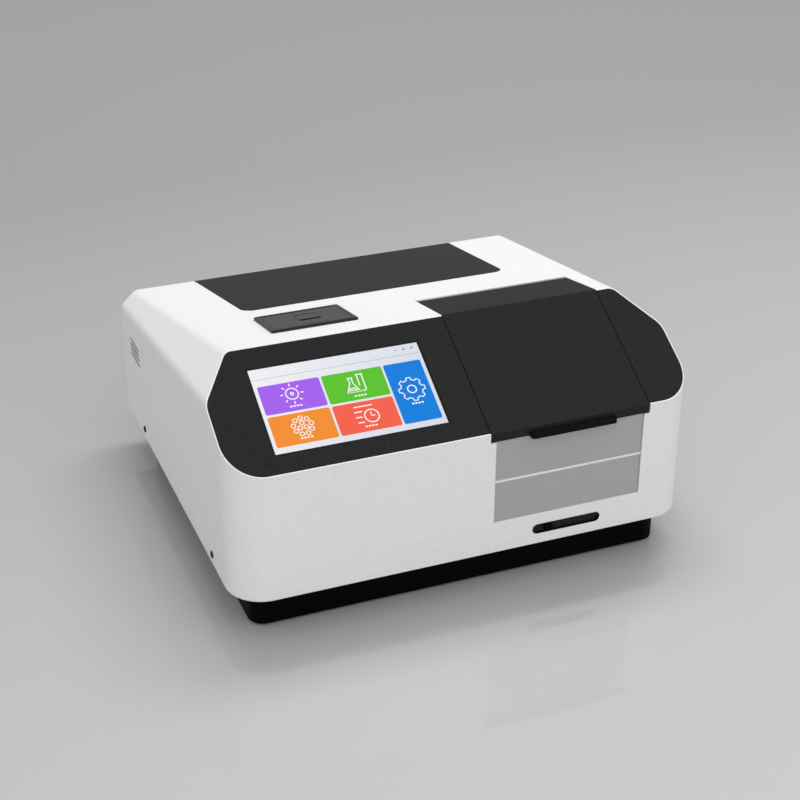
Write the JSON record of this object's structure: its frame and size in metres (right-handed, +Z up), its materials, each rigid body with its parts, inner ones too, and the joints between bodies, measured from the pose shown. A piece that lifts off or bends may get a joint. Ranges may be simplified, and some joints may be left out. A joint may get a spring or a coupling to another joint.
{
  "type": "water quality analyzer",
  "caption": "Bench water quality analyzer with a touch screen on its sloping front, a panel printer on top and a hinged lid over a sliding cuvette holder.",
  "frame": {"origin": "on the bench, under the middle of the part's outline, pull lip included", "axes": "+X to the right along the width, +Y to the back, +Z up"},
  "size_m": [0.4284, 0.3886, 0.2198],
  "materials": {
    "white_coat": "fine-grained white powder coat",
    "dark_panel": "charcoal plastic with a fine grain",
    "dark_cover": "charcoal powder coat",
    "grey_panel": "satin grey paint",
    "pale_trim": "brushed pale strip",
    "screen_glass": "clear touch glass",
    "display": "display panel in a black frame",
    "black_plastic": "black moulded plastic",
    "printer_grey": "dark grey moulded plastic",
    "rubber": "black rubber",
    "steel": "bright steel",
    "sheet_steel": "zinc plated sheet",
    "black_steel": "blackened screws",
    "aluminium": "machined aluminium",
    "black_anodised": "black anodised aluminium",
    "lens_glass": "clear glass",
    "filter_glass": "coloured glass",
    "ceramic": "white ceramic",
    "board": "green circuit board",
    "paper": "white receipt paper"
  },
  "bodies": {
    "analyzer": {"outer_shell": "white_coat", "base_plate": "sheet_steel", "plinth": "black_plastic", "rubber_feet": "rubber", "foot_screws": "steel", "side_screws": "black_steel", "rear_panel": "dark_cover", "rear_screws": "black_steel", "rear_cover": "dark_cover", "screen_fascia": "dark_panel", "side_fascia": "dark_panel", "screen_glass": "screen_glass", "display_module": "display", "display_bracket": "sheet_steel", "hinge_pin": "steel", "hinge_brackets": "black_plastic", "bay_liner": "black_plastic", "bay_seal": "rubber", "upper_front_plate": "grey_panel", "lower_front_plate": "grey_panel", "plate_trim_strip": "pale_trim", "guide_rods": "steel", "rod_supports": "aluminium", "detector_housing": "black_anodised", "photodiode": "aluminium", "optical_bench": "aluminium", "lens_mount": "black_anodised", "condenser_lens": "lens_glass", "wheel_motor": "steel", "motor_bracket": "sheet_steel", "lamp_house": "black_anodised", "lamp_socket": "ceramic", "lamp_bulb": "lens_glass", "main_board": "board", "board_standoffs": "steel", "board_parts": "black_plastic", "power_supply": "sheet_steel", "fan_frame": "black_plastic", "power_inlet": "black_plastic", "switch_housing": "black_plastic", "usb_ports": "steel", "serial_port": "steel", "printer_housing": "printer_grey", "door_pin": "steel", "print_head": "ceramic"},
    "lid": {"lid": "dark_panel"},
    "changer": {"cuvette_holder": "black_anodised", "carriage_block": "black_anodised", "lever_arm": "steel", "slot_shield": "black_plastic", "lever_knob": "black_plastic"},
    "filter_wheel": {"filter_wheel": "black_anodised", "colour_filters": "filter_glass"},
    "fan_rotor": {"fan_rotor": "black_plastic"},
    "power_rocker": {"power_rocker": "black_plastic"},
    "printer_door": {"printer_door": "printer_grey"},
    "printer_latch": {"printer_latch": "printer_grey"},
    "platen_roller": {"platen_roller": "rubber"},
    "paper_roll": {"paper_roll": "paper"}
  },
  "joints": [
    {"name": "lid_hinge", "type": "hinge", "parent": "analyzer", "child": "lid", "pos_m": [0.0906, -0.02081, 0.20442], "axis": [-1, 0, 0], "range_deg": [0, 105]},
    {"name": "changer_slide", "type": "slide", "parent": "analyzer", "child": "changer", "axis": [1, 0, 0], "range_m": [-0.0108, 0.0456]},
    {"name": "filter_wheel_spin", "type": "hinge", "parent": "analyzer", "child": "filter_wheel", "pos_m": [0.1146, 0.01569, 0.0805], "axis": [0, 1, 0], "continuous": true},
    {"name": "fan_spin", "type": "hinge", "parent": "analyzer", "child": "fan_rotor", "pos_m": [-0.211, 0.14375, 0.1225], "axis": [1, 0, 0], "continuous": true},
    {"name": "power_rocker_tilt", "type": "hinge", "parent": "analyzer", "child": "power_rocker", "pos_m": [0.11, 0.18925, 0.083], "axis": [-1, 0, 0], "range_deg": [0, 18]},
    {"name": "printer_door_hinge", "type": "hinge", "parent": "analyzer", "child": "printer_door", "pos_m": [-0.09175, 0.00251, 0.20415], "axis": [-1, 0, 0], "range_deg": [0, 90]},
    {"name": "printer_latch_pull", "type": "hinge", "parent": "printer_door", "child": "printer_latch", "pos_m": [-0.0899, -0.00989, 0.20791], "axis": [-1, 0, 0], "range_deg": [0, 25], "stiffness_Nm_per_rad": 0.002},
    {"name": "platen_spin", "type": "hinge", "parent": "printer_door", "child": "platen_roller", "pos_m": [-0.09175, -0.03686, 0.20729], "axis": [1, 0, 0], "continuous": true},
    {"name": "paper_spin", "type": "hinge", "parent": "analyzer", "child": "paper_roll", "pos_m": [-0.09175, -0.02103, 0.17885], "axis": [1, 0, 0], "continuous": true}
  ],
  "couplings": [
    {"joint": "paper_spin", "follows": "platen_spin", "ratio": 0.26667}
  ]
}
